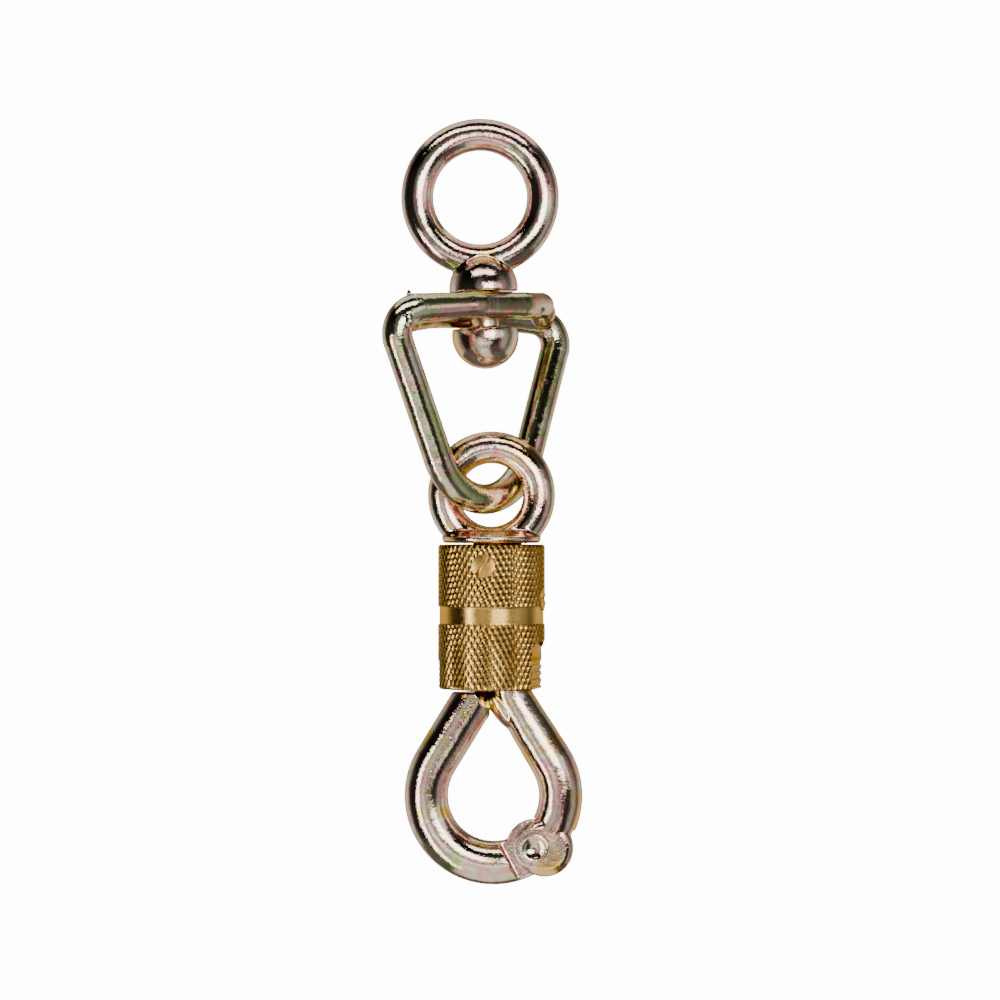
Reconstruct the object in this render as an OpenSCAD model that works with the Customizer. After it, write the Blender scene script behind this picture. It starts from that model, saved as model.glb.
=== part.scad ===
// Swivel snap hook: a lifting ring on a ball-headed swivel, a bent triangular link,
// an eye, a brass turning sleeve and a two-piece hook with a riveted gate.
// Origin at the centre of the ring's hole, +Z up, the front faces -Y.
// Ring and link lean a little against the hook, which hangs upright in the link's foot.

/* [Ring and swivel] */
// Middle radius of the top ring
ring_r = 15.7; // [14:0.1:20]
// Thickness of the ring's bar
ring_bar = 8.1; // [6:0.1:9]
// Radius of the domed collar under the ring
collar_r = 8.6; // [8:0.1:10]
// Height of the domed collar's centre below the ring's centre
collar_drop = 22.6; // [21:0.1:26]
// How far the dome runs below its centre before the flat underside
collar_skirt = 1.1; // [0.5:0.1:2]
// Diameter of the swivel's shank
shank_d = 7.4; // [6:0.1:8]
// Diameter of the spigot that the ball head is riveted to
spigot_d = 5.6; // [4:0.1:6]
// Length of that spigot
spigot_len = 8; // [5:0.5:10]
// Radius of the ball head
ball_r = 8.4; // [8:0.1:10]
// Height of the ball's flat top above its centre
ball_top = 1.8; // [1:0.1:3]

/* [Triangular link] */
// Thickness of the link's legs
link_bar = 7.6; // [6.5:0.1:7.7]
// Thickness of its two top bars where they pass the shank
top_bar = 6.7; // [6:0.1:6.9]
// Height of the back top bar below the front one
bar_step = 1.7; // [1:0.1:3]
// Lean of each leg from the vertical
leg_lean = 23.4; // [21:0.1:25]
// Bend radius at the bottom of the link
foot_bend = 18; // [17:0.5:20]
// Bend radius at the two top corners
corner_bend = 6; // [5:0.5:7]
// Turn of the link about the vertical
link_turn = 47; // [46:1:60]
// Sideways place of the link's middle along its own width
link_shift = -2.3; // [-3:0.1:0]
// Lean of the ring and the link from the vertical
chain_lean = 2.2; // [0:0.1:3]

/* [Eye] */
// Middle radius of the eye
eye_r = 11.9; // [11.7:0.1:14]
// Thickness of the eye's bar
eye_bar = 8.1; // [7:0.1:8.2]
// Depth of the eye's centre below the ball head's lowest point
eye_drop = 31.5; // [30:0.1:40]
// Diameter of the round base under the eye
base_d = 24.8; // [23:0.1:25]
// Thickness of that base
base_h = 3; // [2.5:0.1:4]
// Distance from the eye's centre to the underside of its base
base_drop = 12; // [11:0.1:13]
// Diameter of the stem under the base
stem_d = 9; // [7:0.1:9.5]
// Length of the stem
stem_len = 12; // [11.5:0.1:13]
// Diameter of the cross pin that holds the stem
stem_pin_d = 2.5; // [2:0.1:3]
// Depth of the cross pin below the base
stem_pin_drop = 9.9; // [9.7:0.1:10.1]

/* [Sleeve] */
// Wall of the brass sleeve round its lower pocket
sleeve_wall = 3.2; // [2.8:0.1:4]
// Length of the sleeve
sleeve_len = 36; // [35:0.5:45]
// Depth of the plain band between the two knurled zones
band_depth = 0.4; // [0.3:0.05:0.7]
// Height of the band's top edge below the sleeve's top
band_drop = 15.5; // [15:0.1:17]
// Width of the band
band_w = 4.2; // [3:0.1:5]
// Gap between the lower pocket and the hook's arm in it
pocket_gap = 0.55; // [0.4:0.05:0.8]
// Depth of the lower pocket above the sleeve's lower edge
pocket_h = 17; // [16:0.1:18]
// Depth of the thumb flat, from the sleeve's outside
flat_depth = 2; // [1.5:0.1:2.1]
// Height of the thumb flat
flat_h = 12.5; // [11:0.1:14]
// Number of grip grooves on the thumb flat
grip_count = 4; // [2:1:5]
// Spacing of the grip grooves
grip_pitch = 1.75; // [1.2:0.05:1.8]
// Diameter of the two slotted screws
screw_d = 5.8; // [5:0.1:6]
// Diameter of the detent ball
detent_ball_d = 3; // [2.6:0.1:3.2]

/* [Hook] */
// Thickness of the hook's bar
hook_bar = 11; // [10:0.1:11.4]
// Thickness of the fixed arm inside the sleeve
arm_bar = 10.1; // [9.5:0.1:10.3]
// Middle radius of the hook's round bottom
bow_r = 16.8; // [16.5:0.1:20]
// Depth of the hook's round bottom below the sleeve
bow_drop = 26.7; // [26.5:0.1:30]
// Lean of the hook's two arms from the vertical
arm_lean = 31.4; // [30:0.1:33]
// Angle of the hinge on the hook's round bottom, below the horizontal
hinge_angle = 52; // [51:0.5:54]
// Diameter of the hook's upper shank, which the sleeve turns on
spindle_d = 15.5; // [15:0.1:16]
// Thickness of the gate's tongue
tongue_t = 4.2; // [3.5:0.1:5]
// Thickness over the two ears of the fork
fork_t = 10.4; // [9.8:0.1:11]
// Radius of the round boss on each ear
boss_r = 5.1; // [4.8:0.1:5.5]
// Diameter of the hinge rivet
rivet_d = 5; // [4:0.1:5.5]
// Width of the gate's nose, from the arm outwards
nose_w = 3.3; // [3:0.1:4]
// Thickness of the gate's nose
nose_t = 4.4; // [4:0.1:5]
// Height of the gate's nose above its shoulder
nose_h = 7.4; // [6:0.1:8]
// Largest opening angle of the gate
gate_swing = 60; // [40:1:60]
// Turn of the mating faces of arm and gate, so that no light shows between them
mate_turn = 3; // [0:0.5:4]

/* [Fits] */
// Gap between link, shank, collar, ball and eye
link_gap = 0.3; // [0.25:0.05:0.4]
// Radial play of parts that turn on each other
turn_play = 0.05; // [0.02:0.01:0.08]
// Radial play of parts that are fixed in each other
seat_play = 0.02; // [0.01:0.01:0.04]
// Gap beside the gate's tongue and behind the gate's nose
side_gap = 0.15; // [0.1:0.05:0.25]
// Gap between the sleeve and the eye's base
end_gap = 0.4; // [0.3:0.05:0.6]

/* [Hidden] */
$fn = 96;
zinc = "#b9b0a2";
brass = "#b8924a";
far = 60;
slack = 0.1;
// How far a straight stretch of bent bar reaches into its bends, and how much thinner it is
seam = 0.25;
seam_step = 0.12;

// Heights of the swivel, from the ring's centre downwards
collar_z = -collar_drop;
collar_flat_z = collar_z - collar_skirt;
front_bar_z = collar_flat_z - link_gap - top_bar / 2;
back_bar_z = front_bar_z - bar_step;
ball_flat_z = back_bar_z - top_bar / 2 - link_gap;
ball_z = ball_flat_z - ball_top;
ball_low_z = ball_z - ball_r;

// The link's path in its own plane: u along its width, v towards the back, z up
bar_side = shank_d / 2 + top_bar / 2 + link_gap;
foot_z = ball_low_z - eye_drop - 1;
foot_point_z = foot_z + foot_bend - foot_bend / sin(leg_lean);
left_corner_z = front_bar_z - 1.1;
right_corner_z = back_bar_z - 2;
left_corner_u = -(left_corner_z - foot_point_z) * tan(leg_lean);
right_corner_u = (right_corner_z - foot_point_z) * tan(leg_lean);
pass_u = 9;
bar_bend = 12;
front_end = [18.5, -4.4, front_bar_z + 0.2];
back_end = [-21, 3.2, back_bar_z - 1.2];
front_weld = [22.5, -1.2, front_bar_z - 1.5];
back_weld = [-25.3, 1.2, back_bar_z - 1.4];
weld_r = 3.4;
link_path = [
    front_end,
    [pass_u, -bar_side, front_bar_z],
    [-pass_u, -bar_side, front_bar_z],
    [left_corner_u, 0, left_corner_z],
    [0, 0, foot_point_z],
    [right_corner_u, 0, right_corner_z],
    [pass_u, bar_side, back_bar_z],
    [-pass_u, bar_side, back_bar_z],
    back_end
];
link_bends = [0, bar_bend, bar_bend, corner_bend, foot_bend, corner_bend, bar_bend, bar_bend, 0];
link_sizes = [top_bar, top_bar, top_bar, link_bar, link_bar, link_bar, top_bar, top_bar, top_bar];

// Heights of the eye and the sleeve
eye_z = ball_low_z - eye_drop;
base_z = eye_z - base_drop;
sleeve_top_z = base_z - end_gap;
sleeve_low_z = sleeve_top_z - sleeve_len;
band_z = sleeve_top_z - band_drop;
pocket_z = sleeve_low_z + pocket_h;
spindle_low_z = sleeve_low_z + nose_h + 3.4;
arm_top_z = pocket_z - end_gap;
stem_pin_z = base_z - stem_pin_drop;

// The arm's place inside the sleeve, and the sleeve's radii round it
mate_x = -0.35;
arm_x = mate_x + arm_bar / 2;
pocket_r = arm_x + arm_bar / 2 + pocket_gap;
sleeve_r = pocket_r + sleeve_wall;
flat_dist = sleeve_r - flat_depth;

// The screws: azimuth 0 faces the front, positive towards +X
detent_turn = -9;
detent_z = sleeve_top_z - 5.2;
guide_turn = 79;
guide_rise = 5.4;
guide_z = pocket_z + guide_rise;
sleeve_turn = 90;
screw_face = sleeve_r - 0.25;
detent_screw_len = 2.2;
guide_screw_len = 4.2;
dog_d = 3;
dog_tip = spindle_d / 2 - 1.4;
ball_centre = spindle_d / 2 - 0.1;
dimple_extra = 0.5;
slot_w = 1;
slot_depth = 0.9;

// The hook in the XZ plane
bow_x = 0.5;
bow_z = sleeve_low_z - bow_drop;
hinge_x = bow_x + bow_r * cos(hinge_angle) - 0.3;
hinge_z = bow_z - bow_r * sin(hinge_angle) + 0.4;
tangent_x = bow_r * cos(arm_lean);
tangent_z = bow_z + bow_r * sin(arm_lean);
arm_corner_z = tangent_z + (bow_x + tangent_x - arm_x) / tan(arm_lean);
arm_bend = 8;
shoulder_z = sleeve_low_z - 0.8;
nose_top_z = shoulder_z + nose_h;
gate_x = mate_x - 2 * side_gap;
step_dist = 7.2;
step_turn = 208;
step_low = 9;
step_len = 24;
tongue_r = 6.9;
knuckle_r = 7.2;
knuckle_shift = [2.75, -0.05];
knuckle_edge = 2.2;
slot_root = tongue_r + 0.35;
slot_end = 22;
heel_r = 8;
heel_start = 297;
rivet_head_r = 3.6;

// Direction from one point to another
function unit(v) = v / norm(v);

// Half of the inner angle at a corner of a path
function half_angle(before, corner, after) =
    acos(unit(before - corner) * unit(after - corner)) / 2;

// Distance from a corner to where its bend begins
function bend_reach(path, bends, i) =
    bends[i] == 0 ? 0 : bends[i] / tan(half_angle(path[i - 1], path[i], path[i + 1]));

// Straight bar between two points, tapering from d1 to d2
module bar(a, b, d1, d2) {
    v = b - a;
    translate(a)
        rotate([0, acos(v.z / norm(v)), atan2(v.y, v.x)])
            cylinder(h = norm(v), d1 = d1, d2 = d2);
}

// Bend of a bar round a corner
module bend(before, corner, after, radius, d) {
    to_before = unit(before - corner);
    to_after = unit(after - corner);
    half = half_angle(before, corner, after);
    centre = corner + unit(to_before + to_after) * radius / sin(half);
    x = unit(corner - centre);
    z = unit(cross(to_after, to_before));
    y = cross(z, x);
    multmatrix([
        [x.x, y.x, z.x, centre.x],
        [x.y, y.y, z.y, centre.y],
        [x.z, y.z, z.z, centre.z]
    ])
        rotate([0, 0, half - 90])
            rotate_extrude(angle = 180 - 2 * half)
                translate([radius, 0])
                    circle(d = d);
}

// Round bar bent along a path, with a bend radius and a thickness at each point
module bent_bar(path, bends, sizes) {
    last = len(path) - 1;
    for (i = [0 : last - 1]) {
        way = unit(path[i + 1] - path[i]);
        bar(path[i] + way * (bend_reach(path, bends, i) - seam),
            path[i + 1] - way * (bend_reach(path, bends, i + 1) - seam),
            sizes[i] - seam_step, sizes[i + 1] - seam_step);
    }
    for (i = [1 : last - 1])
        bend(path[i - 1], path[i], path[i + 1], bends[i], sizes[i]);
}

// Things in the XZ plane: a profile drawn in x and z, with its thickness centred on y = 0
module upright(thickness) {
    rotate([90, 0, 0])
        translate([0, 0, -thickness / 2])
            linear_extrude(thickness)
                children();
}

// Round part with its axis along Y through a point of the XZ plane
module cross_axis(x, z) {
    translate([x, 0, z])
        rotate([90, 0, 0])
            children();
}

// Places a radial feature of the sleeve: its z points outwards
module radial(turn, z) {
    translate([0, 0, z])
        rotate([90, 0, turn])
            children();
}

// Part of the hook's round bottom between two angles
module bow(from, to, d) {
    cross_axis(bow_x, bow_z)
        rotate([0, 0, from])
            rotate_extrude(angle = to - from)
                translate([bow_r, 0])
                    circle(d = d);
}

// Leans a part of the swivel or the link about the ring's centre
module leaning() {
    rotate([0, -chain_lean, 0])
        children();
}

// Hangs a part of the hook where the leaning link holds its eye
module hung() {
    translate([-eye_z * sin(chain_lean), 0, eye_z * (cos(chain_lean) - 1)])
        children();
}

module swivel_ring() {
    color(zinc) leaning() {
        rotate([90, 0, 0])
            rotate_extrude()
                translate([ring_r, 0])
                    circle(d = ring_bar);
        difference() {
            translate([0, 0, collar_z])
                sphere(r = collar_r);
            translate([-far, -far, collar_flat_z - far])
                cube([2 * far, 2 * far, far]);
            cross_axis(0, 0)
                cylinder(r = ring_r - ring_bar / 2, h = far, center = true);
        }
        translate([0, 0, ball_flat_z])
            cylinder(d = shank_d, h = collar_z - ball_flat_z);
        translate([0, 0, ball_flat_z - spigot_len])
            cylinder(d = spigot_d, h = spigot_len + slack);
    }
}

module swivel_ball() {
    color(zinc) leaning()
        difference() {
            translate([0, 0, ball_z])
                sphere(r = ball_r);
            translate([-far, -far, ball_flat_z])
                cube([2 * far, 2 * far, far]);
            translate([0, 0, ball_flat_z - spigot_len - slack])
                cylinder(d = spigot_d + 2 * seat_play, h = far);
        }
}

module triangle_link() {
    color(zinc) leaning()
        rotate([0, 0, link_turn])
            translate([link_shift, 0, 0]) {
                bent_bar(link_path, link_bends, link_sizes);
                translate(front_end)
                    sphere(d = top_bar);
                translate(back_end)
                    sphere(d = top_bar);
                translate(front_weld)
                    sphere(r = weld_r);
                translate(back_weld)
                    sphere(r = weld_r);
            }
}

module eye() {
    color(zinc) hung()
        difference() {
            union() {
                translate([0, 0, eye_z])
                    rotate([90, 0, 0])
                        rotate_extrude()
                            translate([eye_r, 0])
                                circle(d = eye_bar);
                translate([0, 0, base_z])
                    cylinder(d1 = base_d - 1.2, d2 = base_d, h = base_h / 4);
                translate([0, 0, base_z + base_h / 4])
                    cylinder(d = base_d, h = base_h / 4);
                translate([0, 0, base_z + base_h / 2])
                    cylinder(d1 = base_d, d2 = base_d - 5, h = base_h / 2);
                translate([0, 0, base_z - stem_len])
                    cylinder(d = stem_d, h = stem_len + slack);
            }
            difference() {
                translate([0, 0, base_z - far])
                    cylinder(r = far, h = far);
                translate([0, 0, base_z - stem_len])
                    cylinder(d = stem_d, h = far);
            }
            cross_axis(0, eye_z)
                cylinder(r = eye_r - eye_bar / 2, h = far, center = true);
            cross_axis(0, stem_pin_z)
                cylinder(d = stem_pin_d + 2 * seat_play, h = far, center = true);
        }
}

module stem_pin() {
    color(zinc) hung()
        cross_axis(0, stem_pin_z)
            cylinder(d = stem_pin_d, h = spindle_d - 0.4, center = true);
}

// Spindle: the upper shank with the stem's bore, the detent's groove and the guide's groove
module spindle() {
    difference() {
        translate([0, 0, spindle_low_z])
            cylinder(d = spindle_d, h = base_z - spindle_low_z);
        translate([0, 0, base_z - stem_len - slack])
            cylinder(d = stem_d + 2 * seat_play, h = far);
        cross_axis(0, stem_pin_z)
            cylinder(d = stem_pin_d + 2 * seat_play, h = far, center = true);
        translate([0, 0, detent_z])
            rotate([0, 0, detent_turn - 90])
                rotate_extrude(angle = sleeve_turn)
                    translate([ball_centre, 0])
                        circle(d = detent_ball_d + 2 * turn_play);
        for (turn = [0, sleeve_turn])
            radial(detent_turn + turn, detent_z)
                translate([0, 0, ball_centre])
                    sphere(d = detent_ball_d + dimple_extra);
        translate([0, 0, guide_z])
            rotate([0, 0, guide_turn - 90])
                rotate_extrude(angle = sleeve_turn)
                    translate([dog_tip - 0.3, -dog_d / 2 - turn_play])
                        square([far, dog_d + 2 * turn_play]);
        for (turn = [0, sleeve_turn])
            radial(guide_turn + turn, guide_z)
                translate([0, 0, dog_tip - 0.3])
                    cylinder(d = dog_d + 2 * turn_play, h = far);
    }
}

// Fork at the arm's end: a round boss with the rivet, and a knuckle with rounded edges beside it
module fork() {
    cross_axis(hinge_x, hinge_z)
        cylinder(r = boss_r, h = fork_t, center = true);
    cross_axis(hinge_x + knuckle_shift.x, hinge_z + knuckle_shift.y)
        rotate_extrude() {
            translate([0, -fork_t / 2])
                square([knuckle_r - knuckle_edge, fork_t]);
            translate([0, knuckle_edge - fork_t / 2])
                square([knuckle_r, fork_t - 2 * knuckle_edge]);
            for (side = [-1, 1])
                translate([knuckle_r - knuckle_edge, side * (fork_t / 2 - knuckle_edge)])
                    circle(r = knuckle_edge);
        }
}

// Space for the gate's tongue between the ears
module tongue_slot() {
    upright(tongue_t + 2 * side_gap)
        translate([hinge_x, hinge_z]) {
            circle(r = slot_root);
            polygon([
                [0, 0],
                [far * cos(160), far * sin(160)],
                [-far, -far],
                [far, -far],
                [far * cos(slot_end), far * sin(slot_end)]
            ]);
        }
}

module hook_arm() {
    color(zinc) hung()
        difference() {
            union() {
                spindle();
                bent_bar([[arm_x, 0, arm_top_z], [arm_x, 0, arm_corner_z],
                    [bow_x + tangent_x, 0, tangent_z]], [0, arm_bend, 0],
                    [arm_bar, arm_bar, hook_bar]);
                bow(-hinge_angle + 8, arm_lean, hook_bar);
                fork();
            }
            tongue_slot();
            for (side = [-1, 1])
                cross_axis(hinge_x, hinge_z)
                    translate([0, 0, side * (fork_t + far) / 2])
                        cylinder(r = boss_r, h = far, center = true);
            translate([mate_x, 0, bow_z])
                rotate([0, 0, mate_turn])
                    translate([-far, -far, 0])
                        cube([far, 2 * far, spindle_low_z - bow_z + slack]);
            cross_axis(hinge_x, hinge_z)
                cylinder(d = rivet_d + 2 * seat_play, h = far, center = true);
        }
}

// Pockets on both sides of the gate's tongue, beyond the slanted step
module ear_pockets() {
    for (side = [-1, 1])
        translate([0, side * (far + tongue_t) / 2, 0])
            upright(far)
                translate([hinge_x, hinge_z])
                    rotate(step_turn - 180)
                        translate([-step_dist, -step_low])
                            square([far, step_len]);
}

module gate() {
    color(zinc) hung()
        difference() {
            union() {
                difference() {
                    union() {
                        bow(180 - arm_lean, 360 - hinge_angle, hook_bar);
                        bar([bow_x - tangent_x - seam * sin(arm_lean), 0,
                                tangent_z - seam * cos(arm_lean)],
                            [bow_x - tangent_x + far / 2 * sin(arm_lean), 0,
                                tangent_z + far / 2 * cos(arm_lean)],
                            hook_bar - seam_step, hook_bar - seam_step);
                    }
                    translate([gate_x, 0, bow_z + bow_r / 2])
                        rotate([0, 0, mate_turn])
                            translate([0, -far, 0])
                                cube([far, 2 * far, far]);
                    translate([-far, -far, shoulder_z])
                        cube([2 * far, 2 * far, far]);
                    ear_pockets();
                }
                upright(tongue_t)
                    translate([hinge_x, hinge_z]) {
                        circle(r = tongue_r);
                        intersection() {
                            circle(r = heel_r);
                            polygon([
                                [0, 0],
                                [far * cos(heel_start), far * sin(heel_start)],
                                [far * cos(slot_end - 2 - gate_swing), far * sin(slot_end - 2 - gate_swing)]
                            ]);
                        }
                    }
                translate([gate_x - nose_w, -nose_t / 2, shoulder_z - 3])
                    cube([nose_w, nose_t, nose_h + 3]);
            }
            cross_axis(hinge_x, hinge_z)
                cylinder(d = rivet_d + 2 * turn_play, h = far, center = true);
        }
}

module hinge_rivet() {
    color(zinc) hung()
        difference() {
            union() {
                cross_axis(hinge_x, hinge_z)
                    cylinder(d = rivet_d, h = fork_t + 0.6, center = true);
                for (side = [-1, 1])
                    cross_axis(hinge_x, hinge_z)
                        translate([0, 0, side * (fork_t / 2 + 0.3)])
                            cylinder(r = rivet_head_r, h = 0.6, center = true);
            }
            for (side = [-1, 1])
                cross_axis(hinge_x, hinge_z)
                    translate([0, 0, side * (fork_t / 2 + 4.3)])
                        sphere(r = 4.6);
        }
}

// Outline of the sleeve's half section: radius and height above the sleeve's lower edge
module sleeve_section() {
    r = sleeve_r;
    edge = 0.5;
    band_low = sleeve_len - band_drop - band_w;
    polygon([
        [pocket_r, 0],
        [r - edge, 0],
        [r, edge],
        [r, band_low - 0.4],
        [r - band_depth, band_low],
        [r - band_depth, band_low + band_w],
        [r, band_low + band_w + 0.4],
        [r, sleeve_len - edge],
        [r - edge, sleeve_len],
        [spindle_d / 2 + turn_play, sleeve_len],
        [spindle_d / 2 + turn_play, pocket_h],
        [pocket_r, pocket_h]
    ]);
}

// Thumb flat with its arched top and grip grooves
module thumb_flat() {
    half_w = 6.9;
    arch_h = 2.5;
    arch_r = (half_w * half_w + arch_h * arch_h) / (2 * arch_h);
    radial(guide_turn, sleeve_low_z) {
        translate([0, 0, flat_dist])
            linear_extrude(far) {
                translate([-half_w, -1])
                    square([2 * half_w, flat_h - arch_h + 1]);
                intersection() {
                    translate([0, flat_h - arch_r])
                        circle(r = arch_r);
                    translate([-half_w, flat_h - arch_h - slack])
                        square([2 * half_w, arch_h + 1]);
                }
            }
        for (i = [0 : grip_count - 1])
            translate([-far / 2, 0.7 + i * grip_pitch, flat_dist - 0.4])
                cube([far, 0.8, far]);
    }
}

module sleeve() {
    color(brass) hung()
        difference() {
            translate([0, 0, sleeve_low_z])
                rotate_extrude()
                    sleeve_section();
            translate([-far, -nose_t / 2 - 2 * side_gap, sleeve_low_z - 1])
                cube([far, nose_t + 4 * side_gap, nose_top_z + end_gap - sleeve_low_z + 1]);
            thumb_flat();
            radial(detent_turn, detent_z) {
                translate([0, 0, screw_face - detent_screw_len])
                    cylinder(d = screw_d + 2 * seat_play, h = far);
                cylinder(d = detent_ball_d + 2 * turn_play, h = far);
            }
            radial(guide_turn, guide_z)
                cylinder(d = screw_d + 2 * seat_play, h = far);
        }
}

// Slotted screw head end: its face lies at z = 0 and the slot is turned by an angle
module slotted_plug(length, slot_turn) {
    difference() {
        translate([0, 0, -length])
            cylinder(d = screw_d, h = length);
        rotate([0, 0, slot_turn])
            translate([-far, -slot_w / 2, -slot_depth])
                cube([2 * far, slot_w, far]);
    }
}

module detent_screw() {
    color(brass) hung()
        radial(detent_turn, detent_z)
            translate([0, 0, screw_face])
                slotted_plug(detent_screw_len, 56);
}

module guide_screw() {
    color(brass) hung()
        radial(guide_turn, guide_z) {
            translate([0, 0, screw_face])
                slotted_plug(guide_screw_len, 0);
            translate([0, 0, dog_tip])
                cylinder(d = dog_d, h = screw_face - guide_screw_len - dog_tip + slack);
        }
}

// Points of one ring of the spring's wire
function coil_ring(a, coil_r, wire, turns, height, sides) = [
    for (s = [0 : sides - 1])
        let (
            t = 360 * s / sides,
            r = coil_r + wire / 2 * cos(t),
            z = height * a / (360 * turns) + wire / 2 * sin(t)
        )
            [r * cos(a), r * sin(a), z]
];

module detent_spring() {
    wire = 0.35;
    coil_r = detent_ball_d / 2 - wire / 2 - 0.1;
    turns = 3;
    sides = 6;
    ball_top_z = ball_centre + sqrt(pow(detent_ball_d / 2, 2) - pow(coil_r, 2));
    low = ball_top_z + wire / 2 + seat_play;
    height = screw_face - detent_screw_len - low - wire / 2 - seat_play;
    steps = 16 * turns;
    points = [for (i = [0 : steps]) each coil_ring(360 * turns * i / steps, coil_r, wire, turns, height, sides)];
    walls = [
        for (i = [0 : steps - 1], s = [0 : sides - 1])
            [i * sides + s, i * sides + (s + 1) % sides,
                (i + 1) * sides + (s + 1) % sides, (i + 1) * sides + s]
    ];
    caps = [
        [for (s = [sides - 1 : -1 : 0]) s],
        [for (s = [0 : sides - 1]) steps * sides + s]
    ];
    color("silver") hung()
        radial(detent_turn, detent_z)
            translate([0, 0, low])
                polyhedron(points, concat(walls, caps));
}

module detent_ball() {
    color("silver") hung()
        radial(detent_turn, detent_z)
            translate([0, 0, ball_centre])
                sphere(d = detent_ball_d);
}

swivel_ring();
swivel_ball();
triangle_link();
eye();
stem_pin();
hook_arm();
gate();
hinge_rivet();
sleeve();
detent_screw();
guide_screw();
detent_spring();
detent_ball();
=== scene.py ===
"""Looks of a swivel snap hook: zinc-plated forgings, a knurled brass sleeve, a white studio."""

import math

import bmesh
import bpy
from mathutils import Matrix, Vector
from mathutils.bvhtree import BVHTree


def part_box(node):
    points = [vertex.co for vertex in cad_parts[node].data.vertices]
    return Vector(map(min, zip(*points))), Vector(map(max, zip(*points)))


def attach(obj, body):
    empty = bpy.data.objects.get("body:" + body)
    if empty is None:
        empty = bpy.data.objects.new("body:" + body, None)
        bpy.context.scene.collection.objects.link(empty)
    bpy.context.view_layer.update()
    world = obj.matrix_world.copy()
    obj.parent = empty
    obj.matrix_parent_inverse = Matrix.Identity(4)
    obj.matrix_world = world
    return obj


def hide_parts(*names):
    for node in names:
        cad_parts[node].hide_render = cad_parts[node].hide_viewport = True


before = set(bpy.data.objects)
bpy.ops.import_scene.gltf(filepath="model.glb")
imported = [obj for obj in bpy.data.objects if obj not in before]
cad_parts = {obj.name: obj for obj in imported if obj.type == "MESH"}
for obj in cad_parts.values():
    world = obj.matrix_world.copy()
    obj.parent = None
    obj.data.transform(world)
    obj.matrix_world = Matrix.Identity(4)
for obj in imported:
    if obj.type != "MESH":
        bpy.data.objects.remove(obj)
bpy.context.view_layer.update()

MM = 0.001

# Fineness of the forgings' skins, and the smoothing after them
SKIN = 0.26 * MM
SKIN_ROUNDS = 6
SKIN_EASE = 0.5
# Broken edges of the machined pieces: width, steps across, least angle that is broken
EDGE_BREAK = 0.12 * MM
EDGE_STEPS = 2
EDGE_ANGLE = math.radians(35)
# The place in y from which rays look for the front
RAY_START = -0.2

# The knurl: starts round the sleeve, its lean from the axis, its depth, how full its pits are,
# mesh steps for each start, how near points merge at the roll's seam, least angle of its edges
KNURL_STARTS = 56
KNURL_LEAN = math.radians(27.8)
KNURL_DEPTH = 0.4 * MM
PIT_CURVE = 0.8
STEPS_A_START = 8
SEAM_MERGE = 0.0005 * MM
KNURL_EDGE_ANGLE = math.radians(30)

# The sleeve's turned shape, from its box and the band's measured place
SLEEVE_LOW, SLEEVE_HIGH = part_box("sleeve")
SLEEVE_RADIUS = (SLEEVE_HIGH.x - SLEEVE_LOW.x) / 2
SLEEVE_AXIS = (SLEEVE_HIGH.x + SLEEVE_LOW.x) / 2
SLEEVE_LENGTH = SLEEVE_HIGH.z - SLEEVE_LOW.z
KNURL_RADIUS = SLEEVE_RADIUS - 0.06 * MM
BAND_RADIUS = 13.05 * MM
BAND_LOW = 16.25 * MM
BAND_HIGH = 20.55 * MM
SLEEVE_EDGE = 0.45 * MM

# The link's weld spatter: x and z on its front, shift from there, radius, stretch
SPATTER = [
    ((-17.3 * MM, -25.9 * MM), Vector((0, 1.6, 0.9)) * MM, 0.75 * MM, (0.8, 0.8, 1.5)),
    ((-17.2 * MM, -32.0 * MM), Vector((0, 0.5, 0)) * MM, 1.2 * MM, (1.0, 1.0, 1.4)),
]
# The dimple in the end of its front bar: x and z on its front, radius, depth
DIMPLE = ((15.6 * MM, -28.3 * MM), 1.4 * MM, 0.8 * MM)

# The hook's round bottom and its two leaning bars
BOW_CENTRE = Vector((3.356 * MM, 0, -149.445 * MM))
BOW_RADIUS = 16.8 * MM
BAR_LEAN = math.radians(31.4)
BAR_RADIUS = 5.5 * MM
ARM_RADIUS = 5.05 * MM
ARM_BAR_LENGTH = 17.2 * MM
GATE_BAR_SHARE = 1.4
# How much smaller in radius the solids' straight bars are than their bends, and how far past
# their ends to look
SEAM_STEP = 0.06 * MM
SEAM_REACH = 1.0 * MM
# The shoulder where the arm runs up into the sleeve: centre, radius, stretch, lean in degrees
SHOULDER = (Vector((6.3, 0, -127.8)) * MM, 1.0 * MM, (3.3, 4.2, 7.0), -36.9)

# The faces where gate and arm meet under the sleeve: their places in x, their lower end, their
# crown and half its width, how far from its place a face's points may lie, and how squarely they
# have to face its side
MATE_GATE = 2.206 * MM
MATE_ARM = 2.506 * MM
MATE_LOW = -131.0 * MM
MATE_CROWN = 0.13 * MM
MATE_HALF_WIDTH = 4.2 * MM
MATE_REACH = 0.45 * MM
FACING = 0.8
# The bevel on the front of the gate's end: its upper end, the corner it starts from, the way its
# edge runs, how far forward it starts and how steeply it falls back
BEVEL_HIGH = -122.6 * MM
BEVEL_CORNER = Vector((-1.3, 0, -123.1)) * MM
BEVEL_WAY = Vector((0.39, 0, -0.92))
BEVEL_FRONT = -5.0 * MM
BEVEL_SLOPE = 1.2

# Camera: the point it looks at, its distance, the width the photo shows there, its sensor in mm
FRAME_CENTRE = Vector((4.98 * MM, 0, -75.6 * MM))
CAMERA_DISTANCE = 1.0
PHOTO_WIDTH = 0.25
SENSOR = 36.0


# Small helpers for meshes and nodes

def link(tree, start, end):
    tree.links.new(start, end)


def new_object(name, mesh):
    obj = bpy.data.objects.new(name, mesh)
    bpy.context.scene.collection.objects.link(obj)
    return obj


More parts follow.
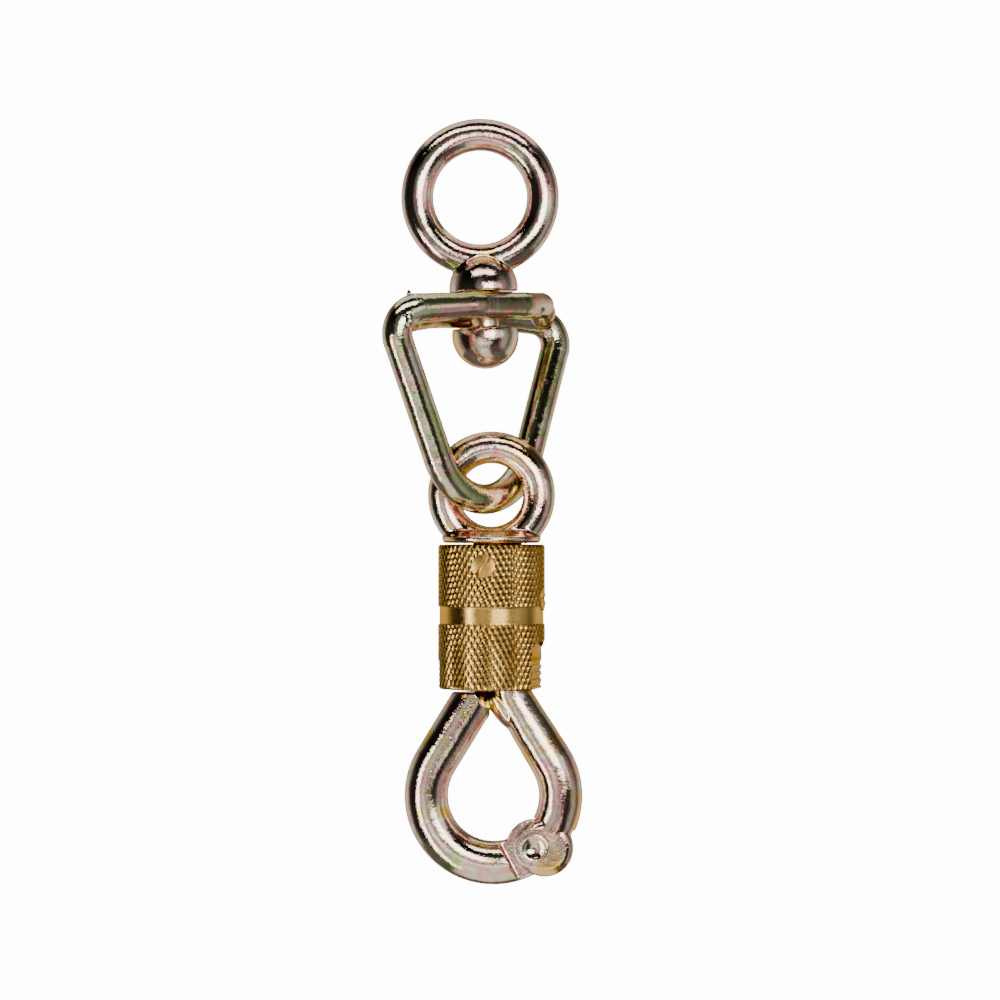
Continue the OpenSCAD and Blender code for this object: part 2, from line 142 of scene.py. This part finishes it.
def baked(obj):
    """Turns an object's modifiers into a plain mesh."""
    graph = bpy.context.evaluated_depsgraph_get()
    mesh = bpy.data.meshes.new_from_object(obj.evaluated_get(graph))
    old = obj.data
    obj.modifiers.clear()
    obj.data = mesh
    bpy.data.meshes.remove(old)


def copy_of(node, name):
    """A merged copy of a CAD node's mesh."""
    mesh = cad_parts[node].data.copy()
    mesh.name = name
    form = bmesh.new()
    form.from_mesh(mesh)
    bmesh.ops.remove_doubles(form, verts=form.verts, dist=0.001 * MM)
    form.to_mesh(mesh)
    form.free()
    mesh.materials.clear()
    return new_object(name, mesh)


def smooth(obj):
    obj.data.polygons.foreach_set("use_smooth", [True] * len(obj.data.polygons))
    obj.data.update()


def paint(mesh, material):
    mesh.materials.clear()
    mesh.materials.append(material)


def finish_piece(obj, material, body, node):
    """Gives a piece its material and its body, and hides the CAD node that it stands for."""
    paint(obj.data, material)
    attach(obj, body)
    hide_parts(node)


# Forgings: a CAD node with its corners run together, as plating and tumbling leave them

def add_lump(obj, centre, radius, stretch, lean=0):
    """Adds a closed lump, such as a weld bead, that the skin then runs together."""
    form = bmesh.new()
    form.from_mesh(obj.data)
    turn = Matrix.Rotation(math.radians(lean), 4, "Y")
    place = Matrix.Translation(centre) @ turn @ Matrix.Diagonal((*stretch, 1))
    bmesh.ops.create_icosphere(form, subdivisions=3, radius=radius, matrix=place)
    form.to_mesh(obj.data)
    form.free()


def plump(obj, start, end, start_radius, end_radius):
    """Brings a straight stretch of bar up to the thickness of the bends beside it."""
    way = (end - start).normalized()
    length = (end - start).length
    for vertex in obj.data.vertices:
        along = (vertex.co - start).dot(way)
        if not -SEAM_REACH < along < length + SEAM_REACH:
            continue
        foot = start + way * along
        out = vertex.co - foot
        radius = start_radius + (end_radius - start_radius) * along / length
        if abs(radius - SEAM_STEP - out.length) < SEAM_STEP / 2:
            vertex.co = foot + out.normalized() * radius


def front_of(mesh, x, z):
    """The point on a mesh's front at a place given by x and z, and the normal there."""
    corners = [vertex.co for vertex in mesh.vertices]
    tree = BVHTree.FromPolygons(corners, [face.vertices for face in mesh.polygons])
    spot, normal, _, _ = tree.ray_cast(Vector((x, RAY_START, z)), Vector((0, 1, 0)))
    return spot, normal


def dent(obj, place, radius, depth):
    """Presses a soft dent into the front at a place given by x and z."""
    spot, normal = front_of(obj.data, *place)
    for vertex in obj.data.vertices:
        near = (vertex.co - spot).length / radius
        if near < 1:
            vertex.co -= normal * depth * (1 - near * near) ** 2


def crown(obj, place, side):
    """Crowns the flat mating face at x = place, so that its middle stands out to the side."""
    flat = [vertex for vertex in obj.data.vertices
            if abs(vertex.co.x - place) < MATE_REACH and abs(vertex.co.y) < MATE_HALF_WIDTH
            and vertex.normal.x * side > FACING]
    for vertex in flat:
        vertex.co.x += side * MATE_CROWN * (1 - (vertex.co.y / MATE_HALF_WIDTH) ** 4)


def trim_to_face(arm):
    """Brings all of the arm that lies left of its mating face onto that face, from its foot up.

    The left half of the shank inside the sleeve is flattened with it, though the solid's is round.
    """
    for vertex in arm.data.vertices:
        if vertex.co.z > MATE_LOW:
            vertex.co.x = max(vertex.co.x, MATE_ARM)


def bevel_end(gate):
    """Bevels the gate's end towards its mating face, on the front."""
    for vertex in gate.data.vertices:
        if not MATE_LOW <= vertex.co.z <= BEVEL_HIGH or vertex.co.y > 0:
            continue
        offset = vertex.co - BEVEL_CORNER
        past = (offset - BEVEL_WAY * offset.dot(BEVEL_WAY)).x
        if past > 0:
            vertex.co.y = max(vertex.co.y, BEVEL_FRONT + BEVEL_SLOPE * past)


def forged(node, bars=(), lumps=(), dents=()):
    """A forged CAD node under a fine skin, with its plumped bars, its lumps and its dents."""
    obj = copy_of(node, node + "_forged")
    for bar in bars:
        plump(obj, *bar)
    for lump in lumps:
        add_lump(obj, *lump)
    cover = obj.modifiers.new("skin", "REMESH")
    cover.mode = "VOXEL"
    cover.voxel_size = SKIN
    cover.use_smooth_shade = True
    run = obj.modifiers.new("run", "SMOOTH")
    run.factor = SKIN_EASE
    run.iterations = SKIN_ROUNDS
    baked(obj)
    for place, radius, depth in dents:
        dent(obj, place, radius, depth)
    smooth(obj)
    return obj


def softened(node):
    """A machined CAD node with its edges broken."""
    obj = copy_of(node, node + "_turned")
    edge = obj.modifiers.new("edge", "BEVEL")
    edge.width = EDGE_BREAK
    edge.segments = EDGE_STEPS
    edge.limit_method = "ANGLE"
    edge.angle_limit = EDGE_ANGLE
    edge.harden_normals = True
    smooth(obj)
    baked(obj)
    return obj


def sharp_edges(obj, angle):
    """Shades every edge sharp that bends by more than an angle."""
    form = bmesh.new()
    form.from_mesh(obj.data)
    for edge in form.edges:
        if len(edge.link_faces) == 2:
            edge.smooth = edge.calc_face_angle(0) < angle
    form.to_mesh(obj.data)
    form.free()


# The knurled sleeve

class Sums:
    """Writes sums with the Math node inside a tree of nodes."""

    def __init__(self, tree):
        self.tree = tree

    def __call__(self, operation, *values):
        node = self.tree.nodes.new("ShaderNodeMath")
        node.operation = operation
        for socket, value in zip(node.inputs, values):
            if isinstance(value, (int, float)):
                socket.default_value = value
            else:
                link(self.tree, value, socket)
        return node.outputs[0]


def knurl_tree():
    """A rolled sheet: knurled, with a plain band, and with its two edges broken."""
    tree = bpy.data.node_groups.new("knurled_roll", "GeometryNodeTree")
    sockets = tree.interface
    sockets.new_socket("Geometry", in_out="INPUT", socket_type="NodeSocketGeometry")
    for name in ("Radius", "Length", "Starts", "Twist", "Depth", "Band Low", "Band High",
                 "Band Radius", "Edge"):
        sockets.new_socket(name, in_out="INPUT", socket_type="NodeSocketFloat")
    for name in ("Steps Round", "Steps Along"):
        sockets.new_socket(name, in_out="INPUT", socket_type="NodeSocketInt")
    sockets.new_socket("Material", in_out="INPUT", socket_type="NodeSocketMaterial")
    sockets.new_socket("Geometry", in_out="OUTPUT", socket_type="NodeSocketGeometry")
    given = tree.nodes.new("NodeGroupInput").outputs
    out = tree.nodes.new("NodeGroupOutput")
    do = Sums(tree)

    grid = tree.nodes.new("GeometryNodeMeshGrid")
    grid.inputs["Size X"].default_value = 1
    grid.inputs["Size Y"].default_value = 1
    link(tree, given["Steps Round"], grid.inputs["Vertices X"])
    link(tree, given["Steps Along"], grid.inputs["Vertices Y"])
    place = tree.nodes.new("GeometryNodeInputPosition")
    split = tree.nodes.new("ShaderNodeSeparateXYZ")
    link(tree, place.outputs[0], split.inputs[0])
    turn = do("ADD", split.outputs["X"], 0.5)
    along = do("ADD", split.outputs["Y"], 0.5)
    height = do("MULTIPLY", along, given["Length"])

    def ridge(sign):
        lead = do("MULTIPLY", do("MULTIPLY", along, given["Twist"]), sign)
        count = do("MULTIPLY", do("ADD", turn, lead), given["Starts"])
        return do("MULTIPLY", do("ABSOLUTE", do("SUBTRACT", do("FRACT", count), 0.5)), 2)

    pit = do("SUBTRACT", 1, do("MAXIMUM", ridge(1), ridge(-1)))
    cut = do("MULTIPLY", do("POWER", pit, PIT_CURVE), given["Depth"])
    knurled = do("SUBTRACT", given["Radius"], cut)
    above = do("GREATER_THAN", height, given["Band Low"])
    below = do("LESS_THAN", height, given["Band High"])
    in_band = do("MULTIPLY", above, below)
    step = do("MULTIPLY", in_band, do("SUBTRACT", given["Band Radius"], knurled))
    near_end = do("MINIMUM", height, do("SUBTRACT", given["Length"], height))
    edge = do("MAXIMUM", do("SUBTRACT", given["Edge"], near_end), 0)
    limit = do("SUBTRACT", given["Radius"], edge)
    radius = do("MINIMUM", do("ADD", knurled, step), limit)

    angle = do("MULTIPLY", turn, 2 * math.pi)
    join = tree.nodes.new("ShaderNodeCombineXYZ")
    link(tree, do("MULTIPLY", radius, do("COSINE", angle)), join.inputs["X"])
    link(tree, do("MULTIPLY", radius, do("SINE", angle)), join.inputs["Y"])
    link(tree, height, join.inputs["Z"])
    roll = tree.nodes.new("GeometryNodeSetPosition")
    link(tree, grid.outputs["Mesh"], roll.inputs["Geometry"])
    link(tree, join.outputs[0], roll.inputs["Position"])
    close = tree.nodes.new("GeometryNodeMergeByDistance")
    close.inputs["Distance"].default_value = SEAM_MERGE
    link(tree, roll.outputs[0], close.inputs["Geometry"])
    realize = tree.nodes.new("GeometryNodeRealizeInstances")
    link(tree, close.outputs[0], realize.inputs["Geometry"])
    coat = tree.nodes.new("GeometryNodeSetMaterial")
    link(tree, realize.outputs[0], coat.inputs["Geometry"])
    link(tree, given["Material"], coat.inputs["Material"])
    link(tree, coat.outputs[0], out.inputs[0])
    return tree


def set_inputs(modifier, values):
    """Sets a Geometry Nodes modifier's inputs by their names."""
    for item in modifier.node_group.interface.items_tree:
        if item.item_type == "SOCKET" and item.in_out == "INPUT" and item.name in values:
            modifier[item.identifier] = values[item.name]


def close_ends(obj):
    """Closes the open ends of the roll with flat faces."""
    form = bmesh.new()
    form.from_mesh(obj.data)
    open_edges = [edge for edge in form.edges if edge.is_boundary]
    bmesh.ops.holes_fill(form, edges=open_edges, sides=0)
    bmesh.ops.recalc_face_normals(form, faces=form.faces)
    form.to_mesh(obj.data)
    form.free()


def knurled_sleeve(material):
    """The knurled roll, cut with the CAD sleeve for its bore, its slot and its grip."""
    obj = new_object("sleeve_knurled", bpy.data.meshes.new("sleeve_knurled"))
    work = obj.modifiers.new("knurl", "NODES")
    work.node_group = knurl_tree()
    lead = SLEEVE_LENGTH * math.tan(KNURL_LEAN) / (2 * math.pi * KNURL_RADIUS)
    set_inputs(work, {
        "Radius": KNURL_RADIUS,
        "Length": SLEEVE_LENGTH,
        "Starts": float(KNURL_STARTS),
        "Twist": lead,
        "Depth": KNURL_DEPTH,
        "Band Low": BAND_LOW,
        "Band High": BAND_HIGH,
        "Band Radius": BAND_RADIUS,
        "Edge": SLEEVE_EDGE,
        "Steps Round": KNURL_STARTS * STEPS_A_START + 1,
        "Steps Along": round(lead * KNURL_STARTS * STEPS_A_START) + 1,
        "Material": material,
    })
    baked(obj)
    obj.data.transform(Matrix.Translation((SLEEVE_AXIS, 0, SLEEVE_LOW.z)))
    close_ends(obj)
    cuts = copy_of("sleeve", "sleeve_cuts")
    carve = obj.modifiers.new("cuts", "BOOLEAN")
    carve.operation = "INTERSECT"
    carve.solver = "EXACT"
    carve.object = cuts
    baked(obj)
    bpy.data.objects.remove(cuts)
    smooth(obj)
    sharp_edges(obj, KNURL_EDGE_ANGLE)
    return obj


# Materials

def grey(value):
    return (value, value, value)


def new_material(name):
    material = bpy.data.materials.new(name)
    material.use_nodes = True
    tree = material.node_tree
    return material, tree, tree.nodes["Principled BSDF"]


def object_noise(tree, scale, detail, place=(0, 0, 0), roughness=0.5):
    where = tree.nodes.new("ShaderNodeTexCoord")
    shift = tree.nodes.new("ShaderNodeMapping")
    shift.inputs["Location"].default_value = place
    noise = tree.nodes.new("ShaderNodeTexNoise")
    noise.inputs["Scale"].default_value = scale
    noise.inputs["Detail"].default_value = detail
    noise.inputs["Roughness"].default_value = roughness
    link(tree, where.outputs["Object"], shift.inputs[0])
    link(tree, shift.outputs[0], noise.inputs["Vector"])
    return noise.outputs["Fac"]


def ramp(tree, fac, stops):
    node = tree.nodes.new("ShaderNodeValToRGB")
    marks = node.color_ramp.elements
    while len(marks) < len(stops):
        marks.new(0.5)
    for mark, (place, colour) in zip(marks, stops):
        mark.position = place
        mark.color = (*colour, 1)
    link(tree, fac, node.inputs[0])
    return node.outputs[0]


def even_stops(first, step, tints):
    """Tints at even steps along a ramp."""
    return [(first + step * i, tint) for i, tint in enumerate(tints)]


def mixed(tree, fac, first, second):
    node = tree.nodes.new("ShaderNodeMix")
    node.data_type = "RGBA"
    link(tree, fac, node.inputs["Factor"])
    link(tree, first, node.inputs["A"])
    link(tree, second, node.inputs["B"])
    return node.outputs["Result"]


def metal(shader, edge):
    """Makes a shader metallic, with the colour that it takes on at its edges."""
    shader.inputs["Metallic"].default_value = 1.0
    shader.inputs["Specular Tint"].default_value = (*edge, 1)


def bumped(tree, shader, *layers):
    """Stacks bumps, each a height and the depth that it stands for."""
    under = None
    for height, depth in layers:
        node = tree.nodes.new("ShaderNodeBump")
        node.inputs["Distance"].default_value = depth
        link(tree, height, node.inputs["Height"])
        if under:
            link(tree, under, node.inputs["Normal"])
        under = node.outputs[0]
    link(tree, under, shader.inputs["Normal"])


# Tints of the zinc's passivated film, and the copper that its edges lean to
SILVER = (0.79, 0.73, 0.56)
PINK = (0.92, 0.41, 0.39)
PEACH = (0.90, 0.54, 0.18)
YELLOW = (0.85, 0.58, 0.09)
GREEN = (0.46, 0.61, 0.21)
COPPER = (0.58, 0.40, 0.22)
# Noise scales of the film's wide drifts, small clouds and fine specks, and of its gloss
DRIFT_SCALE = 110
CLOUD_SCALE = 380
SPECK_SCALE = 1500
GLOSS_SCALE = 700
ZINC_ROUGHNESS = 0.06
# The zinc's bumps from waves down to grain: noise scale, noise roughness, depth
ZINC_WAVES = (130, 0.5, 0.22 * MM)
ZINC_DIMPLES = (620, 0.5, 0.05 * MM)
ZINC_GRAIN = (2300, 0.6, 0.042 * MM)

GOLD = (0.80, 0.50, 0.13)
DARK_GOLD = (0.62, 0.34, 0.07)
# The dark brown of the painted shade in the knurl grooves and on the thumb grip
GROOVE_SHADE_TINT = (0.24, 0.105, 0.018)
BRASS_EDGE = (0.80, 0.58, 0.32)
# Where painted shade lies in the knurl grooves, by the depth below the knurl's ridges as a share
# of twice the knurl's depth
GROOVE_SHADE_STOPS = [(0.16, grey(0)), (0.42, grey(1)), (0.56, grey(1)), (0.6, grey(0))]
# Noise scale of the fine lines that the lathe leaves round the band
LATHE_SCALE = 5200
# The thumb grip on the sleeve: its height, and the radius that all of it lies within
GRIP_TOP = 11.2 * MM
GRIP_RADIUS = KNURL_RADIUS - 1.1 * KNURL_DEPTH
# Painted shade lines across the grip, as shares of its height: their middles and half their width
GRIP_SHADE_LINES = (0.22, 0.44, 0.68)
GRIP_SHADE_HALF = 0.06

LIGHT_STEEL = (0.66, 0.66, 0.65)
DARK_STEEL = (0.50, 0.50, 0.50)


def zinc_plate(name, place, tints):
    """Bright zinc plate with a passivated film: its tints drift over the piece."""
    material, tree, shader = new_material(name)
    aside = tuple(value + 0.37 for value in place)
    drift = object_noise(tree, DRIFT_SCALE, 2.0, place, 0.5)
    cloud = object_noise(tree, CLOUD_SCALE, 3.0, aside, 0.6)
    specks = object_noise(tree, SPECK_SCALE, 2.0, place, 0.6)
    wide = ramp(tree, drift, even_stops(0.32, 0.09, tints))
    small = ramp(tree, cloud, even_stops(0.36, 0.08, reversed(tints)))
    veil = ramp(tree, specks, [(0.35, grey(0.05)), (0.65, grey(0.45))])
    link(tree, mixed(tree, veil, wide, small), shader.inputs["Base Color"])
    metal(shader, COPPER)
    gloss = object_noise(tree, GLOSS_SCALE, 3.0, aside)
    low, high = grey(ZINC_ROUGHNESS * 0.7), grey(ZINC_ROUGHNESS * 1.7)
    link(tree, ramp(tree, gloss, [(0.3, low), (0.75, high)]), shader.inputs["Roughness"])
    layers = []
    for (scale, rough, depth), where in (
            (ZINC_WAVES, aside), (ZINC_DIMPLES, place), (ZINC_GRAIN, aside)):
        layers.append((object_noise(tree, scale, 2.0, where, rough), depth))
    bumped(tree, shader, *layers)
    return material


def axis_place(tree):
    """Distance from the sleeve's axis, and height above its lower edge, both in metres."""
    do = Sums(tree)
    where = tree.nodes.new("ShaderNodeTexCoord")
    shift = tree.nodes.new("ShaderNodeMapping")
    shift.inputs["Location"].default_value = (-SLEEVE_AXIS, 0, -SLEEVE_LOW.z)
    split = tree.nodes.new("ShaderNodeSeparateXYZ")
    link(tree, where.outputs["Object"], shift.inputs[0])
    link(tree, shift.outputs[0], split.inputs[0])
    across, deep, height = split.outputs
    radius = do("SQRT", do("ADD", do("MULTIPLY", across, across), do("MULTIPLY", deep, deep)))
    return do, radius, height


def grip_shade_stops():
    """How much painted shade the thumb grip takes along its height: a dull painted shade, with a
    darker painted shade line at each mark.
    """
    stops = [(0.0, grey(0.6))]
    for mark in GRIP_SHADE_LINES:
        stops.append((mark - GRIP_SHADE_HALF, grey(0.6)))
        stops.append((mark, grey(1)))
        stops.append((mark + GRIP_SHADE_HALF, grey(0.5)))
    return stops


def gold_tone(tree):
    """The brass's own colour, which drifts between a light and a dark gold."""
    return ramp(tree, object_noise(tree, 130, 2.0), [(0.35, DARK_GOLD), (0.65, GOLD)])


def knurled_brass():
    """Brass with painted shade in its knurl grooves and on its thumb grip, and a finely turned
    band.
    """
    material, tree, shader = new_material("knurled_brass")
    do, radius, height = axis_place(tree)
    sunk = do("DIVIDE", do("SUBTRACT", KNURL_RADIUS, radius), 2 * KNURL_DEPTH)
    above = do("GREATER_THAN", height, BAND_LOW)
    below = do("LESS_THAN", height, BAND_HIGH)
    in_band = do("MULTIPLY", above, below)
    off_band = do("SUBTRACT", 1, in_band)
    # Painted shade: the deeper parts of the knurl grooves, outside the band, are darkened towards
    # the dark brown
    painted_shade = do("MULTIPLY", ramp(tree, sunk, GROOVE_SHADE_STOPS), off_band)
    # Painted shade on the thumb grip: a dull shade over all of it, with darker lines across it
    grip_shade = ramp(tree, do("DIVIDE", height, GRIP_TOP), grip_shade_stops())
    deep = do("LESS_THAN", radius, GRIP_RADIUS)
    in_grip = do("MULTIPLY", deep, do("LESS_THAN", height, GRIP_TOP))
    painted_shade = do("MAXIMUM", painted_shade, do("MULTIPLY", grip_shade, in_grip))
    # The painted shade colour, mixed over the gold wherever the grooves and the grip take painted
    # shade
    shade_colour = tree.nodes.new("ShaderNodeRGB")
    shade_colour.outputs[0].default_value = (*GROOVE_SHADE_TINT, 1)
    link(tree, mixed(tree, painted_shade, gold_tone(tree), shade_colour.outputs[0]), shader.inputs["Base Color"])
    metal(shader, BRASS_EDGE)
    shine = ramp(tree, object_noise(tree, 900, 2.0), [(0.3, grey(0.16)), (0.7, grey(0.26))])
    link(tree, shine, shader.inputs["Roughness"])
    rings = tree.nodes.new("ShaderNodeTexNoise")
    rings.noise_dimensions = "1D"
    rings.inputs["Scale"].default_value = LATHE_SCALE
    rings.inputs["Detail"].default_value = 2
    link(tree, height, rings.inputs["W"])
    turned = do("MULTIPLY", rings.outputs["Fac"], in_band)
    grain = do("MULTIPLY", object_noise(tree, 1700, 2.0), off_band)
    bumped(tree, shader, (grain, 0.012 * MM), (turned, 0.02 * MM))
    return material


def screw_brass():
    """Duller brass for the two screws."""
    material, tree, shader = new_material("screw_brass")
    link(tree, gold_tone(tree), shader.inputs["Base Color"])
    metal(shader, BRASS_EDGE)
    shine = ramp(tree, object_noise(tree, 700, 2.0), [(0.3, grey(0.26)), (0.7, grey(0.42))])
    link(tree, shine, shader.inputs["Roughness"])
    bumped(tree, shader, (object_noise(tree, 1500, 2.0), 0.02 * MM))
    return material


def plain_steel(name):
    """Ground steel for the pieces that are hidden inside."""
    material, tree, shader = new_material(name)
    tone = ramp(tree, object_noise(tree, 400, 2.0), [(0.3, DARK_STEEL), (0.7, LIGHT_STEEL)])
    link(tree, tone, shader.inputs["Base Color"])
    shader.inputs["Metallic"].default_value = 1.0
    shader.inputs["Roughness"].default_value = 0.3
    return material


# Pieces

def dress_swivel():
    rose = zinc_plate("zinc_rose", (0.3, 0.1, 0.7), [GREEN, SILVER, PINK, SILVER, PEACH])
    for node in ("swivel_ring", "swivel_ball"):
        finish_piece(forged(node), rose, "ring", node)


def dress_link():
    warm = zinc_plate("zinc_warm", (0.9, 0.5, 0.2), [PEACH, SILVER, GREEN, PINK, SILVER])
    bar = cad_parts["triangle_link"].data
    spatter = []
    for place, shift, radius, stretch in SPATTER:
        spot, _ = front_of(bar, *place)
        spatter.append((spot + shift, radius, stretch))
    piece = forged("triangle_link", lumps=spatter, dents=[DIMPLE])
    finish_piece(piece, warm, "link", "triangle_link")


def hook_bars():
    """The straight bars of arm and gate, from the round bottom upwards."""
    reach = Vector((math.cos(BAR_LEAN), 0, math.sin(BAR_LEAN))) * BOW_RADIUS
    rise = Vector((-math.sin(BAR_LEAN), 0, math.cos(BAR_LEAN))) * ARM_BAR_LENGTH
    arm_foot = BOW_CENTRE + reach
    gate_foot = BOW_CENTRE + Vector((-reach.x, 0, reach.z))
    gate_rise = Vector((-rise.x, 0, rise.z)) * GATE_BAR_SHARE
    return ((arm_foot, arm_foot + rise, BAR_RADIUS, ARM_RADIUS),
            (gate_foot, gate_foot + gate_rise, BAR_RADIUS, BAR_RADIUS))


def dress_hook():
    arm_bar, _ = hook_bars()
    rose = zinc_plate("zinc_peach", (0.1, 0.6, 0.4), [SILVER, PINK, SILVER, PEACH, YELLOW])
    finish_piece(forged("eye"), rose, "hook", "eye")
    arm = forged("hook_arm", [arm_bar], [SHOULDER])
    trim_to_face(arm)
    crown(arm, MATE_ARM, -1)
    finish_piece(arm, rose, "hook", "hook_arm")
    finish_piece(softened("hinge_rivet"), rose, "hook", "hinge_rivet")
    paint(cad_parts["stem_pin"].data, plain_steel("pin_steel"))


def dress_gate():
    _, gate_bar = hook_bars()
    green = zinc_plate("zinc_green", (0.5, 0.2, 0.9), [GREEN, SILVER, PINK, SILVER, YELLOW])
    gate = forged("gate", [gate_bar])
    bevel_end(gate)
    crown(gate, MATE_GATE, 1)
    finish_piece(gate, green, "gate", "gate")


def dress_sleeve():
    knurled = knurled_brass()
    finish_piece(knurled_sleeve(knurled), knurled, "collar", "sleeve")
    plain = screw_brass()
    for node in ("detent_screw", "guide_screw"):
        finish_piece(softened(node), plain, "collar", node)
    inner = plain_steel("inner_steel")
    for node in ("detent_spring", "detent_ball"):
        paint(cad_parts[node].data, inner)


# Studio: a pale floor, a room that is dark beside the camera, and soft panels round the object

# Brightness round the room by bearing: 0 is in front, positive to the right
ROOM_SIDES = [
    (-180, 1.1), (-124, 1.1), (-110, 0.5), (-100, 0.12), (-88, 0.02), (-28, 0.02), (-16, 0.25),
    (0, 0.2), (12, 0.04), (50, 0.03), (62, 0.4), (80, 0.4), (92, 0.12), (104, 0.25), (122, 1.0),
    (180, 1.1),
]
# Share of it that is seen by height above the horizon
ROOM_HEIGHTS = [(-90, 1.0), (0, 1.0), (18, 0.6), (32, 0.15), (90, 0.06)]
# Soft upright panels: name, first and last bearing, distance, low and high edge, brightness
PANELS = [
    ("ring_panel", 1, 32, 0.60, -0.11, 0.12, 8.0),
    ("ring_shade", 30, 62, 0.60, -0.09, 0.12, 1.2),
    ("hook_panel", -54, -43, 0.20, -0.44, -0.075, 8.0),
    ("hook_shade", -43, -14, 0.22, -0.44, -0.075, 0.55),
    ("mid_panel", -24, 4, 0.50, -0.24, -0.10, 0.2),
    ("low_panel", -22, 22, 0.50, -0.36, -0.24, 1.5),
]
# Panels above and below: name, place, point that they face, width, length, brightness
FACING_PANELS = [
    ("top_panel", (0, -0.246, 0.315), (0, 0, 0), 0.5, 0.10, 6.0),
    ("back_panel", (0, 0.17, 0.26), (0, 0.17, 0), 0.5, 0.34, 1.0),
    ("bounce_panel", (0.004, -0.13, -0.31), (0.004, -0.13, 0), 0.16, 0.38, 0.9),
]
# Brightness of room and floor as the camera sees them, the floor's height and half its width
BACKGROUND = 14.0
FLOOR_GLOW = 4.0
FLOOR_HEIGHT = FRAME_CENTRE.z - 1.2
FLOOR_HALF_WIDTH = 1.5
# Brightness that stands for white in the room's curves
LEVEL_TOP = 10.0


def pale_floor():
    """A large pale floor far below, which the camera alone sees glow."""
    form = bmesh.new()
    bmesh.ops.create_grid(form, x_segments=1, y_segments=1, size=FLOOR_HALF_WIDTH)
    form.transform(Matrix.Translation((0, 0, FLOOR_HEIGHT)))
    mesh = bpy.data.meshes.new("floor")
    form.to_mesh(mesh)
    form.free()
    obj = new_object("floor", mesh)
    material, tree, shader = new_material("floor_paint")
    pale = ramp(tree, object_noise(tree, 3, 1.0), [(0.3, grey(0.84)), (0.7, grey(0.86))])
    link(tree, pale, shader.inputs["Base Color"])
    shader.inputs["Roughness"].default_value = 0.9
    shader.inputs["Emission Color"].default_value = (1, 1, 1, 1)
    seen = tree.nodes.new("ShaderNodeLightPath").outputs["Is Camera Ray"]
    link(tree, Sums(tree)("MULTIPLY", seen, FLOOR_GLOW), shader.inputs["Emission Strength"])
    obj.data.materials.append(material)


def levels(tree, fac, marks, low, high):
    """A brightness curve: marks give an angle and a brightness."""
    stops = [((angle - low) / (high - low), grey(value / LEVEL_TOP)) for angle, value in marks]
    return ramp(tree, fac, stops)


def room():
    """The room that the metal reflects, and the bright background that the camera sees."""
    world = bpy.data.worlds.new("room")
    bpy.context.scene.world = world
    world.use_nodes = True
    tree = world.node_tree
    glow = tree.nodes["Background"]
    do = Sums(tree)
    look = tree.nodes.new("ShaderNodeTexCoord")
    split = tree.nodes.new("ShaderNodeSeparateXYZ")
    link(tree, look.outputs["Generated"], split.inputs[0])
    x, y, z = split.outputs
    bearing = do("ADD", do("DIVIDE", do("ARCTAN2", x, do("MULTIPLY", y, -1)), 2 * math.pi), 0.5)
    height = do("ADD", do("DIVIDE", do("ARCSINE", z), math.pi), 0.5)
    sides = do("MULTIPLY", levels(tree, bearing, ROOM_SIDES, -180, 180), LEVEL_TOP)
    share = do("MULTIPLY", levels(tree, height, ROOM_HEIGHTS, -90, 90), LEVEL_TOP)
    room_light = do("MULTIPLY", sides, share)
    seen = tree.nodes.new("ShaderNodeLightPath").outputs["Is Camera Ray"]
    behind = do("MULTIPLY", do("SUBTRACT", BACKGROUND, room_light), seen)
    link(tree, do("ADD", room_light, behind), glow.inputs["Strength"])
    glow.inputs["Color"].default_value = (1, 1, 1, 1)


def soft_light(name, place, away, across, along, brightness):
    """A soft rectangular light that shines against the way given and that no camera sees."""
    light = bpy.data.lights.new(name, "AREA")
    light.shape = "RECTANGLE"
    light.size = across
    light.size_y = along
    light.energy = brightness * math.pi * across * along
    obj = bpy.data.objects.new(name, light)
    bpy.context.scene.collection.objects.link(obj)
    obj.location = place
    obj.rotation_euler = away.to_track_quat("Z", "Y").to_euler()
    obj.visible_camera = False


def panel(name, first, last, distance, low, high, brightness):
    """A soft panel that stands upright and faces the object between two bearings."""
    bearing = math.radians((first + last) / 2)
    away = Vector((math.sin(bearing), -math.cos(bearing), 0))
    place = away * distance + Vector((FRAME_CENTRE.x, 0, (low + high) / 2))
    across = 2 * distance * math.tan(math.radians((last - first) / 2))
    soft_light(name, place, away, across, high - low, brightness)


def facing_panel(name, place, target, across, along, brightness):
    """A soft panel that faces a point."""
    away = (Vector(place) - Vector(target)).normalized()
    soft_light(name, Vector(place), away, across, along, brightness)


def camera():
    """A level camera straight in front, as in the photo."""
    lens = bpy.data.cameras.new("camera")
    lens.sensor_width = SENSOR
    lens.lens = SENSOR * CAMERA_DISTANCE / PHOTO_WIDTH
    obj = bpy.data.objects.new("camera", lens)
    bpy.context.scene.collection.objects.link(obj)
    obj.location = FRAME_CENTRE + Vector((0, -CAMERA_DISTANCE, 0))
    obj.rotation_euler = (math.radians(90), 0, 0)
    bpy.context.scene.camera = obj


dress_swivel()
dress_link()
dress_hook()
dress_gate()
dress_sleeve()
pale_floor()
room()
for row in PANELS:
    panel(*row)
for row in FACING_PANELS:
    facing_panel(*row)
camera()

bpy.context.view_layer.update()
